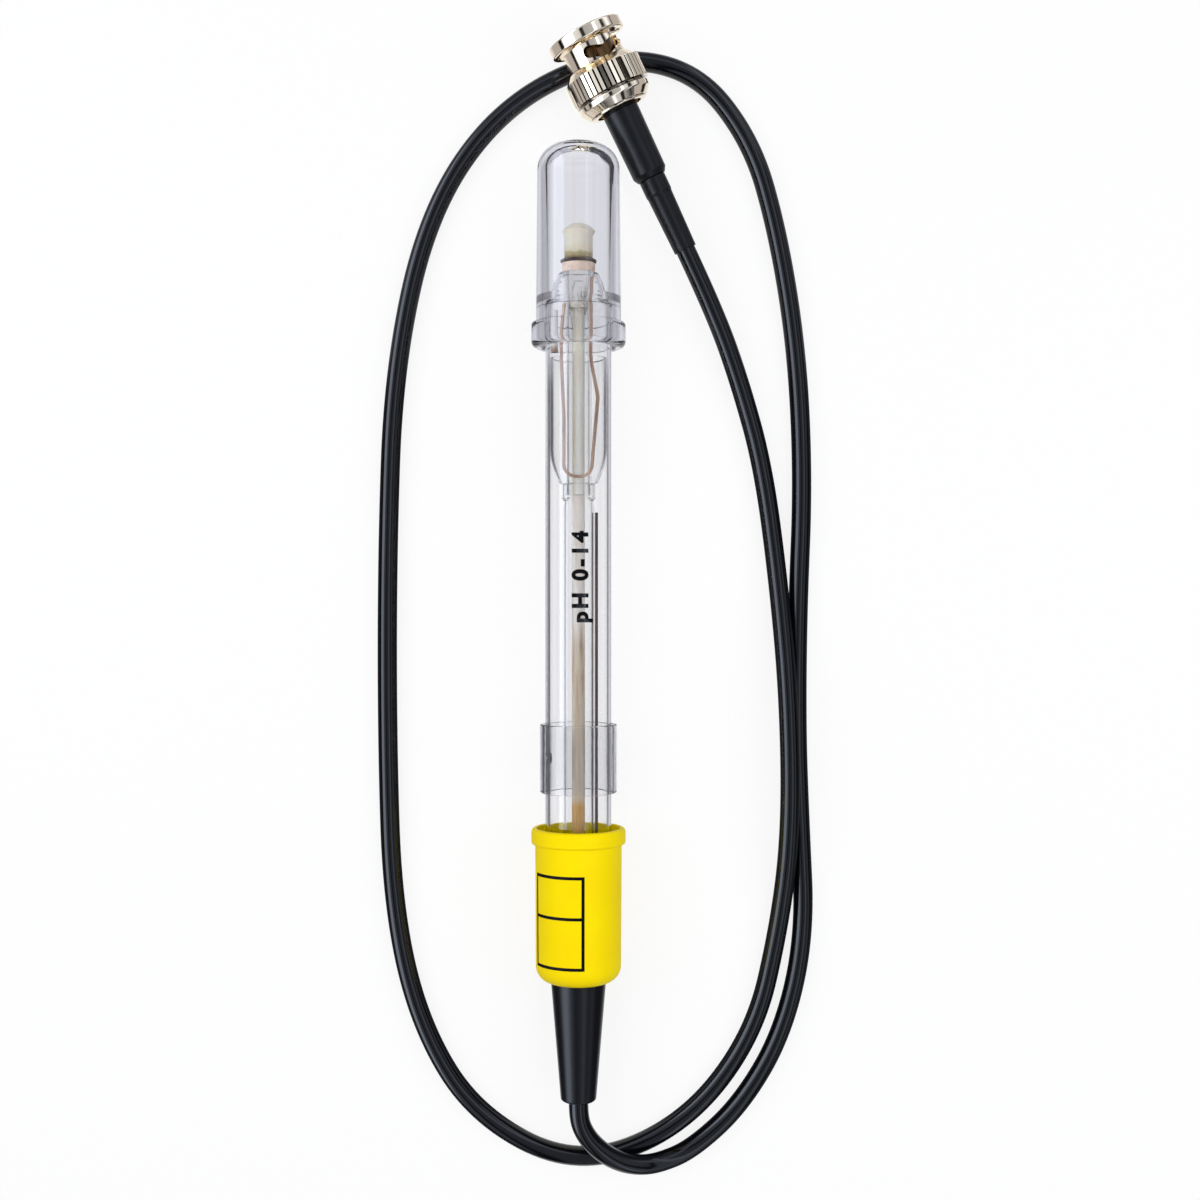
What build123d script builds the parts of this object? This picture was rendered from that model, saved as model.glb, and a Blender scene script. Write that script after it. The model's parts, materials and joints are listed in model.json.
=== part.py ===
from build123d import *

import math
import os

# A laboratory pH electrode that lies on a bench: a glass body with its sensing bulb under a clear
# storage cap, a yellow head, and a thin coaxial lead that ends in a bayonet plug.
# Sizes are millimetres. The glass runs along Y with the bulb toward +Y, Z is up, and the origin is on
# the bench, under the middle of the electrode from the strain relief's tail to the cap's top.

# Lengths along the electrode, one after the other from its tail to its tip
relief_len = 21.6
head_len = 27.9
glass_shown = 87.0
cap_len = 36.8

# Outer glass tube
glass_d = 12.0
glass_wall = 0.75
glass_in_cap = 13.3
glass_in_head = 14.0
neck_d = 7.2
neck_lip = 0.9
waist_d = 9.1
waist_drop = 2.0
flare_d = 9.9
flare_drop = 3.9
shoulder_drop = 5.5
shoulder_round = 1.2
fill_hole_d = 2.0
fill_hole_drop = 12.6

# Sensing bulb and the stem that carries it
bulb_d = 6.1
bulb_crown = 1.55
bulb_neck_drop = 1.0
bulb_waist_d = 5.2
bulb_wall = 0.4
stem_d = 4.7
stem_wall = 0.5
bulb_len = 7.2
collar_len = 1.95
collar_d = 6.0
lip_d = 6.6
lip_thick = 0.45

# Reference chamber, a glass cup on a long inner tube
chamber_wall = 0.45
chamber_rim_drop = 15.3
chamber_round_drop = 33.9
chamber_end_drop = 37.8
chamber_end_d = 7.2
chamber_foot_drop = 38.1
chamber_foot_d = 6.2
chamber_waist_drop = 40.65
chamber_waist_d = 5.5
chamber_waist_len = 0.4
inner_tube_drop = 42.6
inner_tube_d = 5.76
inner_tube_wall = 0.5
chamber_round = 12.0
chamber_end_round = 0.5
inner_tube_end_gap = 0.6

# What stands inside the glass
rod_d = 2.25
rod_top_drop = 6.5
plug_thick = 1.8
stem_in_foot = 2.0
core_wire_d = 0.7
sheath_d = 2.4
sheath_lift = 7.3
wire_d = 0.56
wire_front = 2.72
wire_back = 1.75
wire_left = 2.45
wire_right = 2.2
wire_left_bow = 3.0
wire_right_bow = 3.3
wire_top_drop = 1.15
wire_foot_drop = 36.8
wire_end_drop = 5.6
wire_left_bow_drop = 13.0
wire_left_straight_drop = 26.0
wire_right_bow_drop = 22.5
wire_right_bend_drop = 16.0
wire_lean = 0.3
wire_bends = [6.0, 6.0, 2.2, 2.1, 6.0, 6.0]
wick_d = 1.35
wick_offset = 4.45
wick_top_drop = 6.6
wick_len = 7.6
side_lead_drop = 43.2

# Yellow head
rim_d = 17.1
rim_len = 2.95
rim_round = 0.7
rim_under_round = 0.5
head_d = 15.7
head_foot_d = 15.45
head_round = 3.0
head_floor = 2.0
mouth_d = 15.0
mouth_depth = 3.0
mouth_slope = 0.9
head_bore_d = 13.2
potting_drop = 5.0

# Strain relief
relief_d = 10.0
relief_tip_d = 6.4
relief_tip_round = 0.6
spigot_d = 7.2
spigot_flange_d = 9.4
spigot_flange_thick = 1.0
cable_in_head = 6.0

# Lead
cable_d = 3.6

# Refill sleeve, a clear band over the fill hole
sleeve_len = 12.4
sleeve_d = 14.0
sleeve_round = 0.25
sleeve_drop = 6.4

# Storage cap
cap_tip_d = 14.9
cap_root_d = 15.45
cap_round = 4.5
cap_end_wall = 1.6
cap_chamber_d = 11.4
cap_chamber_round = 3.2
skirt_len = 4.5
skirt_round = 1.1
cap_stop_drop = 6.1
cap_step = 0.12
cap_taper_start = 0.8
cap_taper_len = 1.4
cap_mouth_bevel = 0.6

# The cap's skirt is as wide as the head's rim, so that the electrode lies level
skirt_d = rim_d

# Bayonet plug, with every station measured back from the coupling nut's front face
flange_rise = 1.65
nut_flange_len = 2.1
nut_flange_round = 0.3
barrel_d = 10.7
barrel_wall = 0.5
knurl_start = 6.1
knurl_bevel = 1.4
knurl_end = 11.6
knurl_rise = 1.85
knurl_groove = 0.35
knurl_ridges = 48
tail_groove_depth = 0.9
tail_ring_start = 12.1
tail_ring_depth = 0.45
tail_ring_end = 13.1
tail_face_depth = 1.5
tail_step_depth = 1.9
nut_len = 14.8
slot_w = 2.1
slot_mouth = 2.6
slot_deep = 5.2
slot_home = 4.3
slot_turn = 74.0
detent_turn = 30.0
contact_room = 0.8
contact_wall = 0.65
contact_front = 1.3
contact_slot_w = 0.5
contact_slot_len = 4.6
body_front = 9.0
body_flange_len = 0.9
body_room = 0.85
body_end = 13.4
insulator_front = 6.2
insulator_end = 12.0
pin_d = 1.35
pin_front = 2.2
pin_end = 12.6
gasket_len = 0.7
washer_thick = 0.5
ferrule_d = 6.0
ferrule_wall = 0.45
ferrule_len = 10.0
boot_gap = 1.7
boot_shrink_len = 0.9
boot_shrink_d = 5.3
boot_front_d = 6.7
boot_front_tail_d = 6.4
boot_front_len = 13.1
boot_rear_d = 4.9
boot_band_len = 3.0
boot_rear_tail_d = 4.2
boot_rear_len = 14.25

# Where the plug lies, with its nut over the lead, and how its rear points: turned from -Y toward +X
# and tipped down
plug_x = 0.96
plug_y = 106.1
plug_turn = 26.18
plug_tip = 7.0

# Clearances
bench_gap = 0.05
rest_gap = 0.42
slide_gap = 0.2
seat_gap = 0.1
pin_gap = 0.03
turn_gap = 0.3

# Plug sizes that follow from the nut's barrel
nut_bore_d = barrel_d - 2 * barrel_wall
nut_flange_d = barrel_d + 2 * flange_rise
knurl_d = barrel_d + 2 * knurl_rise
tail_groove_d = knurl_d - 2 * tail_groove_depth
tail_ring_d = knurl_d - 2 * tail_ring_depth
tail_face_d = knurl_d - 2 * tail_face_depth
tail_step_d = knurl_d - 2 * tail_step_depth
contact_d = nut_bore_d - 2 * contact_room
body_d = nut_bore_d - 2 * body_room
body_flange_d = nut_bore_d - 2 * slide_gap
nut_hole_d = body_d + 2 * turn_gap
nut_step = body_front + body_flange_len + washer_thick + 2 * seat_gap
boot_start = body_end + boot_gap
boot_step = boot_start + boot_front_len
boot_end = boot_step + boot_rear_len

# Stations along Y
total_len = relief_len + head_len + glass_shown + cap_len
tail_y = -total_len / 2
head_y = tail_y + relief_len
mouth_y = head_y + head_len
cap_y = mouth_y + glass_shown
top_y = cap_y + cap_len
neck_y = cap_y + glass_in_cap
glass_end_y = mouth_y - glass_in_head
fill_hole_y = mouth_y + fill_hole_drop
floor_y = head_y + head_floor
cable_end_y = head_y + cable_in_head
stem_y = neck_y + collar_len
axis_z = rim_d / 2

# Directions of the plug
turn = math.radians(plug_turn)
tip = math.radians(plug_tip)
plug_front = (plug_x, plug_y, bench_gap + cable_d + rest_gap + nut_flange_d / 2 * math.cos(tip))
plug_rear = (math.sin(turn) * math.cos(tip), -math.cos(turn) * math.cos(tip), -math.sin(tip))

along_electrode = Plane(origin=(0, 0, axis_z), x_dir=(1, 0, 0), z_dir=(0, 1, 0)).location
along_plug = Plane(origin=plug_front, x_dir=(math.cos(turn), math.sin(turn), 0), z_dir=plug_rear).location


def turned(corners):
    """A solid of revolution about Z from (radius, station, corner rounding) corners."""
    points = [(radius, station) for radius, station, rounding in corners]
    roundings = [rounding for radius, station, rounding in corners]
    outline = make_face(FilletPolyline(*points, radius=roundings, close=True))
    return revolve(Plane.XZ * outline, Axis.Z)


def tube(outer_d, inner_d, start, end, rounding=0):
    """A plain tube along Z between two stations."""
    return turned([
        (inner_d / 2, start, 0),
        (outer_d / 2, start, rounding),
        (outer_d / 2, end, rounding),
        (inner_d / 2, end, 0),
    ])


def bar(diameter, start, end, x=0):
    """A round bar along the electrode, offset sideways from its axis."""
    foot = Plane(origin=(x, start, axis_z), z_dir=(0, 1, 0))
    return Solid.make_cylinder(diameter / 2, end - start, foot)


def swept_rod(diameter, path):
    """A round rod along a path of straight runs joined by tangent arcs."""
    section = Plane(origin=path @ 0, z_dir=path % 0) * Circle(diameter / 2)
    return sweep(section, path)


def bent(points, share=0.45):
    """Straight runs joined by arcs as large as the shorter run beside each corner allows."""
    corners = [Vector(*point) for point in points]
    radii = []
    for before, corner, after in zip(corners, corners[1:], corners[2:]):
        arriving = corner - before
        leaving = after - corner
        half_turn = math.radians(arriving.get_angle(leaving)) / 2
        radii.append(share * min(arriving.length, leaving.length) / math.tan(half_turn))
    return FilletPolyline(*points, radius=radii), radii


# Storage cap

def storage_cap():
    """A clear cap: a rounded dome, a thick skirt, and a bore with a stop above the glass shoulder."""
    skirt_y = cap_y + skirt_len
    inner_top = top_y - cap_end_wall
    bore_r = glass_d / 2 + slide_gap
    stop_y = neck_y - cap_stop_drop
    return turned([
        (0, top_y, 0),
        (cap_tip_d / 2, top_y, cap_round),
        (cap_root_d / 2, skirt_y, 0),
        (skirt_d / 2, skirt_y, 0.4),
        (skirt_d / 2, cap_y, skirt_round),
        (bore_r + cap_mouth_bevel, cap_y, 0),
        (bore_r, cap_y + cap_mouth_bevel, 0),
        (bore_r, stop_y, 0),
        (bore_r - cap_step, stop_y + cap_step, 0),
        (bore_r - cap_step, stop_y + cap_taper_start, 0),
        (cap_chamber_d / 2, stop_y + cap_taper_start + cap_taper_len, 0),
        (cap_chamber_d / 2, inner_top, cap_chamber_round),
        (0, inner_top, 0),
    ])


# Glass body

def outer_glass():
    """The outer tube, drawn in over a waisted shoulder to a thick lip, with its fill hole."""
    outer_r = glass_d / 2
    inner_r = outer_r - glass_wall
    lip_hole_r = stem_d / 2 + slide_gap
    shell = turned([
        (lip_hole_r, neck_y, 0),
        (neck_d / 2, neck_y, 0.5),
        (waist_d / 2, neck_y - waist_drop, 1.5),
        (flare_d / 2, neck_y - flare_drop, shoulder_round),
        (outer_r, neck_y - shoulder_drop, shoulder_round),
        (outer_r, glass_end_y, 0),
        (inner_r, glass_end_y, 0),
        (inner_r, neck_y - shoulder_drop - glass_wall / 2, shoulder_round),
        (flare_d / 2 - glass_wall, neck_y - flare_drop - glass_wall / 2, shoulder_round),
        (waist_d / 2 - glass_wall, neck_y - waist_drop - glass_wall / 2, 1.0),
        (neck_d / 2 - glass_wall + 0.35, neck_y - neck_lip, 0),
        (lip_hole_r, neck_y - neck_lip, 0),
    ])
    shell = along_electrode * shell
    hole_plane = Plane(origin=(0, fill_hole_y, axis_z), z_dir=(-1, 0, 0))
    return shell - Solid.make_cylinder(fill_hole_d / 2, glass_d, hole_plane)


def ph_bulb():
    """The sensing bulb: a low crown over a slightly drawn-in neck, blown hollow."""
    top = stem_y + bulb_len
    rim = top - bulb_crown
    neck = rim - bulb_neck_drop
    outer_r = bulb_d / 2
    waist_r = bulb_waist_d / 2
    neck_r = stem_d / 2
    waist_foot = stem_y + 2 * lip_thick
    crown_r = (outer_r ** 2 + bulb_crown ** 2) / (2 * bulb_crown)
    inside_r = crown_r - bulb_wall
    centre = top - crown_r
    half_angle = math.asin(outer_r / crown_r)
    inside_angle = math.asin((outer_r - bulb_wall) / crown_r)
    inside_rim = (inside_r * math.sin(inside_angle), centre + inside_r * math.cos(inside_angle))
    crown_middle = (crown_r * math.sin(half_angle / 2), centre + crown_r * math.cos(half_angle / 2))
    inside_middle = (inside_r * math.sin(inside_angle / 2), centre + inside_r * math.cos(inside_angle / 2))
    outline = make_face([
        ThreePointArc((0, top), crown_middle, (outer_r, rim)),
        Line((outer_r, rim), (waist_r, neck)),
        Line((waist_r, neck), (waist_r, waist_foot)),
        Line((waist_r, waist_foot), (neck_r, waist_foot - lip_thick)),
        Line((neck_r, waist_foot - lip_thick), (neck_r, stem_y)),
        Line((neck_r, stem_y), (neck_r - bulb_wall, stem_y)),
        Line((neck_r - bulb_wall, stem_y), (waist_r - bulb_wall, waist_foot)),
        Line((waist_r - bulb_wall, waist_foot), (waist_r - bulb_wall, neck)),
        Line((waist_r - bulb_wall, neck), inside_rim),
        ThreePointArc(inside_rim, inside_middle, (0, top - bulb_wall)),
        Line((0, top - bulb_wall), (0, top)),
    ])
    return revolve(Plane.XZ * outline, Axis.Z)


def collar_ring():
    """The pale ring between the bulb and the lip of the outer glass."""
    return tube(collar_d, stem_d + 2 * slide_gap, neck_y, stem_y - seat_gap, 0.15)


def seal_lip():
    """The dark sealing lip on top of the ring."""
    return tube(lip_d, stem_d + 2 * slide_gap, stem_y, stem_y + lip_thick, 0.2)


def stem_tube():
    """The clear stem, from the bulb down into the foot of the reference chamber."""
    foot_y = neck_y - chamber_foot_drop - stem_in_foot
    return tube(stem_d, stem_d - 2 * stem_wall, foot_y, stem_y)


def reference_chamber():
    """A wide glass cup that narrows to a foot, and runs on as the inner tube into the head."""
    outer_r = glass_d / 2 - glass_wall - seat_gap
    end_r = chamber_end_d / 2
    foot_r = chamber_foot_d / 2
    waist_r = chamber_waist_d / 2
    tube_r = inner_tube_d / 2
    rim_y = neck_y - chamber_rim_drop
    round_y = neck_y - chamber_round_drop
    cup_end_y = neck_y - chamber_end_drop
    foot_y = neck_y - chamber_foot_drop
    waist_y = neck_y - chamber_waist_drop
    tube_y = neck_y - inner_tube_drop
    end_y = glass_end_y + inner_tube_end_gap
    return turned([
        (outer_r, rim_y, 0.2),
        (outer_r, round_y, chamber_round),
        (end_r, cup_end_y, chamber_end_round),
        (foot_r, foot_y, 0),
        (foot_r, waist_y, 0.2),
        (waist_r, waist_y - chamber_waist_len, 0.4),
        (tube_r, tube_y, 0.8),
        (tube_r, end_y, 0),
        (tube_r - inner_tube_wall, end_y, 0),
        (tube_r - inner_tube_wall, tube_y, 0.8),
        (waist_r - chamber_wall, waist_y - chamber_waist_len, 0.2),
        (foot_r - chamber_wall, waist_y, 0.2),
        (foot_r - chamber_wall, foot_y, 0),
        (end_r - chamber_wall, cup_end_y, chamber_end_round),
        (outer_r - chamber_wall, round_y + chamber_wall / 4, chamber_round),
        (outer_r - chamber_wall, rim_y, 0),
    ])


# Inside the glass

def measuring_rod():
    """The cream rod that stands in the stem, coated for the inner reference."""
    bottom = neck_y - chamber_foot_drop - stem_in_foot + seat_gap
    return bar(rod_d, bottom, neck_y - rod_top_drop)


def fibre_plug():
    """A wad of fibre that closes the stem above the rod."""
    start = neck_y - rod_top_drop + seat_gap
    return bar(stem_d - 2 * stem_wall - 2 * seat_gap, start, start + plug_thick)


def core_wire():
    """The measuring wire, from the rod's foot down the inner tube to the lead's end."""
    top = neck_y - chamber_foot_drop - stem_in_foot
    return bar(core_wire_d, cable_end_y + seat_gap, top)


def core_sheath():
    """The sleeve on the lower half of the measuring wire."""
    top = neck_y - chamber_foot_drop - stem_in_foot
    bottom = glass_end_y + sheath_lift
    return along_electrode * tube(sheath_d, core_wire_d + 2 * seat_gap, bottom, top, 0.1)


def reference_wire():
    """The bare reference wire, hung in the chamber as a long U with uneven legs."""
    front = axis_z + wire_front
    back = axis_z + wire_back
    foot = neck_y - wire_foot_drop
    points = [
        (-wire_left, neck_y - wire_end_drop, back),
        (-wire_left_bow, neck_y - wire_left_bow_drop, front),
        (-wire_left, neck_y - wire_left_straight_drop, front),
        (-wire_left, foot, front),
        (wire_right, foot, front),
        (wire_right_bow, neck_y - wire_right_bow_drop, front),
        (wire_right, neck_y - wire_right_bend_drop, front - wire_lean),
        (wire_right, neck_y - wire_top_drop, back),
    ]
    path = FilletPolyline(*points, radius=wire_bends)
    return swept_rod(wire_d, path)


def side_lead():
    """The reference lead, which runs beside the inner tube to the head."""
    offset = inner_tube_d / 2 + wire_d / 2 + seat_gap
    return bar(wire_d, glass_end_y + inner_tube_end_gap, neck_y - side_lead_drop, x=offset)


def junction_wick():
    """The porous junction rod that stands against the wall beside the stem."""
    top = neck_y - wick_top_drop
    return bar(wick_d, top - wick_len, top, x=-wick_offset)


# Head and strain relief

def head_cap():
    """The yellow head: a cup with a rim, a mouth wider than its bore, and a hole in its floor."""
    rim_y = mouth_y - rim_len
    hole_r = spigot_d / 2 + seat_gap
    return turned([
        (hole_r, head_y, 0),
        (head_foot_d / 2, head_y, head_round),
        (head_d / 2, rim_y, 0),
        (rim_d / 2, rim_y, rim_under_round),
        (rim_d / 2, mouth_y, rim_round),
        (mouth_d / 2, mouth_y, 0.2),
        (mouth_d / 2, mouth_y - mouth_depth, 0),
        (head_bore_d / 2, mouth_y - mouth_depth - mouth_slope, 0),
        (head_bore_d / 2, floor_y, 0),
        (hole_r, floor_y, 0),
    ])


def potting():
    """The resin that holds the glass, the lead and the strain relief in the head."""
    bore_r = head_bore_d / 2 - seat_gap
    top = mouth_y - potting_drop
    shelf = glass_end_y - seat_gap
    flange_top = floor_y + seat_gap + spigot_flange_thick + seat_gap
    return turned([
        (cable_d / 2 + seat_gap, flange_top, 0),
        (bore_r, flange_top, 0),
        (bore_r, top, 0),
        (glass_d / 2 + seat_gap, top, 0),
        (glass_d / 2 + seat_gap, shelf, 0),
        (core_wire_d / 2 + seat_gap, shelf, 0),
        (core_wire_d / 2 + seat_gap, cable_end_y + seat_gap, 0),
        (cable_d / 2 + seat_gap, cable_end_y + seat_gap, 0),
    ])


def strain_relief():
    """The black taper, with a spigot through the head's floor and a flange behind it."""
    bore_r = cable_d / 2 + seat_gap
    flange_y = floor_y + seat_gap
    return turned([
        (bore_r, tail_y, 0),
        (relief_tip_d / 2, tail_y, relief_tip_round),
        (relief_d / 2, head_y, 0),
        (spigot_d / 2, head_y, 0),
        (spigot_d / 2, flange_y, 0),
        (spigot_flange_d / 2, flange_y, 0),
        (spigot_flange_d / 2, flange_y + spigot_flange_thick, 0),
        (bore_r, flange_y + spigot_flange_thick, 0),
    ])


def cable_tail():
    """The lead's own end, through the strain relief and into the resin."""
    return bar(cable_d, tail_y, cable_end_y)


def refill_sleeve():
    """The band that slides off the fill hole."""
    start = mouth_y + sleeve_drop
    return tube(sleeve_d, glass_d + 2 * slide_gap, start, start + sleeve_len, sleeve_round)


# Bayonet plug

def knurl_band():
    """The knurled band as flat-topped ridges with narrow grooves between them."""
    pitch = 2 * math.pi / knurl_ridges
    crest_r = knurl_d / 2
    root_r = crest_r - knurl_groove
    points = []
    for ridge in range(knurl_ridges):
        for turn_share, radius in ((-0.32, crest_r), (0.32, crest_r), (0.5, root_r)):
            angle = (ridge + turn_share) * pitch
            points.append((radius * math.cos(angle), radius * math.sin(angle)))
    start = knurl_start + knurl_bevel
    band = Pos(0, 0, start) * extrude(make_face(Polyline(*points, close=True)), knurl_end - start)
    return band - Solid.make_cylinder(nut_bore_d / 2, nut_len)


def bayonet_track():
    """One bayonet slot: in behind the flange, back along the barrel, and home to its detent hole."""
    stops = [(0, slot_mouth), (slot_turn / 2, (slot_mouth + slot_deep) / 2), (slot_turn, slot_deep),
             (slot_turn + detent_turn, slot_home)]
    middle_r = (barrel_d + nut_bore_d) / 4
    depth = barrel_d - nut_bore_d
    cutter = None
    places = []
    for degrees, station in stops:
        angle = math.radians(degrees)
        places.append(Vector(middle_r * math.cos(angle), middle_r * math.sin(angle), station))
    for here in places:
        outward = Vector(here.X, here.Y, 0).normalized()
        peg_plane = Plane(origin=here - outward * depth, z_dir=outward)
        peg = Solid.make_cylinder(slot_w / 2, 2 * depth, peg_plane)
        cutter = peg if cutter is None else cutter + peg
    for here, there in zip(places[:-1], places[1:]):
        middle = (here + there) * 0.5
        outward = Vector(middle.X, middle.Y, 0).normalized()
        run = (there - here).normalized()
        run_plane = Plane(origin=middle, x_dir=run, z_dir=outward)
        cutter = cutter + run_plane.location * Box((there - here).length, slot_w, 2 * depth)
    return cutter


def coupling_nut():
    """The bayonet nut: flange, slotted barrel, knurled grip and rounded tail around a stepped bore."""
    bore_r = nut_bore_d / 2
    hole_r = nut_hole_d / 2
    shell = turned([
        (bore_r + 0.3, 0, 0),
        (nut_flange_d / 2, 0, nut_flange_round),
        (nut_flange_d / 2, nut_flange_len, nut_flange_round),
        (barrel_d / 2 + 0.6, nut_flange_len, 0),
        (barrel_d / 2, nut_flange_len + 0.4, 0),
        (barrel_d / 2, knurl_start, 0),
        (barrel_d / 2 + 0.5, knurl_start, 0.3),
        (knurl_d / 2 - 0.1, knurl_start + knurl_bevel, 0),
        (knurl_d / 2 - knurl_groove, knurl_start + knurl_bevel + 0.2, 0),
        (knurl_d / 2 - knurl_groove, knurl_end, 0),
        (tail_groove_d / 2, knurl_end, 0),
        (tail_groove_d / 2, tail_ring_start, 0),
        (tail_ring_d / 2, tail_ring_start, 0.15),
        (tail_ring_d / 2, tail_ring_end, 0.4),
        (tail_face_d / 2, nut_len - 0.4, 0.1),
        (tail_step_d / 2, nut_len - 0.4, 0),
        (tail_step_d / 2, nut_len, 0.2),
        (hole_r, nut_len, 0),
        (hole_r, nut_step, 0),
        (bore_r, nut_step, 0),
        (bore_r, 0.3, 0),
    ])
    track = bayonet_track()
    slots = track + Rot(0, 0, 180) * track
    return shell + knurl_band() - slots


def outer_contact():
    """The sprung contact tube, slit in four from its front."""
    sleeve = tube(contact_d, contact_d - 2 * contact_wall, contact_front, body_front, 0.15)
    slit = Box(contact_d + 1, contact_slot_w, contact_slot_len)
    slit = Pos(0, 0, contact_front + contact_slot_len / 2) * slit
    return sleeve - slit - Rot(0, 0, 90) * slit


def plug_body():
    """The plug's body: a flange that keeps the nut, and a barrel that takes the insulator."""
    bore_r = contact_d / 2 - contact_wall
    flange_end = body_front + body_flange_len
    return turned([
        (bore_r, body_front, 0),
        (body_flange_d / 2, body_front, 0),
        (body_flange_d / 2, flange_end, 0),
        (body_d / 2, flange_end, 0),
        (body_d / 2, body_end, 0.3),
        (cable_d / 2 + seat_gap, body_end, 0),
        (cable_d / 2 + seat_gap, insulator_end + seat_gap, 0),
        (bore_r, insulator_end + seat_gap, 0),
    ])


def plug_insulator():
    """The white insulator that centres the pin."""
    outer_d = contact_d - 2 * contact_wall - 2 * seat_gap
    return tube(outer_d, pin_d + 2 * pin_gap, insulator_front, insulator_end, 0.1)


def centre_pin():
    """The gilt centre pin, with a rounded tip."""
    return turned([
        (0, pin_front, 0),
        (pin_d / 2, pin_front, pin_d / 2 - 0.1),
        (pin_d / 2, pin_end, 0),
        (0, pin_end, 0),
    ])


def plug_gasket():
    """The soft gasket in front of the body's flange."""
    end = body_front - seat_gap
    return tube(body_flange_d, contact_d + 2 * seat_gap, end - gasket_len, end, 0.1)


def spring_washer():
    """The washer that pulls the nut back against the body."""
    start = body_front + body_flange_len + seat_gap
    return tube(body_flange_d, body_d + 2 * seat_gap, start, start + washer_thick)


def crimp_ferrule():
    """The crimped ferrule behind the body."""
    return tube(ferrule_d, ferrule_d - 2 * ferrule_wall, body_end, body_end + ferrule_len, 0.1)


def boot_front():
    """The wider length of heat-shrink sleeve, over the ferrule and then down on the cable."""
    ferrule_end = body_end + ferrule_len + seat_gap
    return turned([
        (ferrule_d / 2 + seat_gap, boot_start, 0),
        (boot_front_d / 2, boot_start, 0.2),
        (boot_front_tail_d / 2, boot_step - boot_shrink_len, 0.5),
        (boot_shrink_d / 2, boot_step, 0),
        (cable_d / 2 + seat_gap, boot_step, 0),
        (cable_d / 2 + seat_gap, ferrule_end, 0),
        (ferrule_d / 2 + seat_gap, ferrule_end, 0),
    ])


def boot_rear():
    """The narrower length of heat-shrink sleeve, with a fuller band at its front."""
    band_end = boot_step + boot_band_len
    band_r = boot_rear_d / 2
    return turned([
        (cable_d / 2 + seat_gap, boot_step, 0),
        (band_r, boot_step, 0.3),
        (band_r, band_end, 0.2),
        (band_r - 0.12, band_end + 0.5, 0.2),
        (boot_rear_tail_d / 2, boot_end, 0.1),
        (cable_d / 2 + seat_gap, boot_end, 0),
    ])


def plug_cable():
    """The lead's other end, inside the ferrule and the sleeves."""
    return Solid.make_cylinder(cable_d / 2, boot_end - pin_end - seat_gap,
                               Plane(origin=(0, 0, pin_end + seat_gap), z_dir=(0, 0, 1)))


# Lead: from the strain relief round the right side, over the top behind the plug, down the left side,
# and up the right side again on top of itself to the plug
lead_start = [
    (0, tail_y, axis_z),
    (0, -89.3, axis_z),
    (0.7, -92.0, 8.4),
    (2.6, -94.9, 7.9),
    (5.8, -97.7, 7.0),
    (9.9, -99.6, 5.4),
    (14.6, -100.0, 3.4),
    (21.2, -97.7, 2.0),
    (30.3, -89.3, 1.85),
    (38.0, -75.9, 1.85),
    (42.0, -57.9, 1.85),
    (41.45, -46.35, 1.85),
]
lead_loop = [
    (41.45, -46.35, 1.85),
    (41.0, -36.9, 1.85),
    (40.4, -19.9, 1.85),
    (40.6, 2.1, 1.85),
    (41.6, 26.1, 1.85),
    (40.5, 50.1, 1.85),
    (37.0, 72.1, 1.85),
    (32.0, 89.6, 1.85),
    (21.0, 103.1, 1.85),
    (3.5, 104.9, 1.85),
    (-15.0, 95.1, 1.85),
    (-28.0, 76.1, 1.85),
    (-34.4, 47.1, 1.85),
    (-35.6, 13.1, 1.85),
    (-35.6, -22.9, 1.85),
    (-34.6, -52.9, 1.85),
    (-29.5, -74.9, 1.85),
    (-19.2, -91.6, 1.85),
    (-0.5, -101.2, 1.85),
    (19.0, -93.9, 1.85),
    (32.5, -76.9, 1.85),
    (37.3, -55.9, 2.0),
    (38.9, -37.4, 6.0),
    (38.5, -14.4, 6.2),
    (37.0, 7.1, 2.6),
    (34.2, 28.9, 1.85),
    (29.8, 44.4, 2.7),
    (25.11, 56.98, 4.3),
    tuple(front + boot_end * rear for front, rear in zip(plug_front, plug_rear)),
]


def lead(name, points):
    """One stretch of the lead, with its radii and its volume against section times length."""
    path, radii = bent(points)
    solid = swept_rod(cable_d, path)
    expected = math.pi * cable_d ** 2 / 4 * path.length
    print(name, "radii", [round(radius, 1) for radius in radii])
    print(name, "length", round(path.length, 1), "volume ratio", round(solid.volume / expected, 4))
    return solid


pieces = {
    "storage_cap": along_electrode * storage_cap(),
    "outer_glass": outer_glass(),
    "ph_bulb": along_electrode * ph_bulb(),
    "collar_ring": along_electrode * collar_ring(),
    "seal_lip": along_electrode * seal_lip(),
    "stem_tube": along_electrode * stem_tube(),
    "reference_chamber": along_electrode * reference_chamber(),
    "measuring_rod": measuring_rod(),
    "fibre_plug": fibre_plug(),
    "core_wire": core_wire(),
    "core_sheath": core_sheath(),
    "reference_wire": reference_wire(),
    "side_lead": side_lead(),
    "junction_wick": junction_wick(),
    "head_cap": along_electrode * head_cap(),
    "potting": along_electrode * potting(),
    "strain_relief": along_electrode * strain_relief(),
    "cable_tail": cable_tail(),
    "refill_sleeve": along_electrode * refill_sleeve(),
    "coupling_nut": along_plug * coupling_nut(),
    "outer_contact": along_plug * outer_contact(),
    "plug_body": along_plug * plug_body(),
    "plug_insulator": along_plug * plug_insulator(),
    "centre_pin": along_plug * centre_pin(),
    "plug_gasket": along_plug * plug_gasket(),
    "spring_washer": along_plug * spring_washer(),
    "crimp_ferrule": along_plug * crimp_ferrule(),
    "boot_front": along_plug * boot_front(),
    "boot_rear": along_plug * boot_rear(),
    "plug_cable": along_plug * plug_cable(),
    "cable_start": lead("cable_start", lead_start),
    "cable_loop": lead("cable_loop", lead_loop),
}

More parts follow.
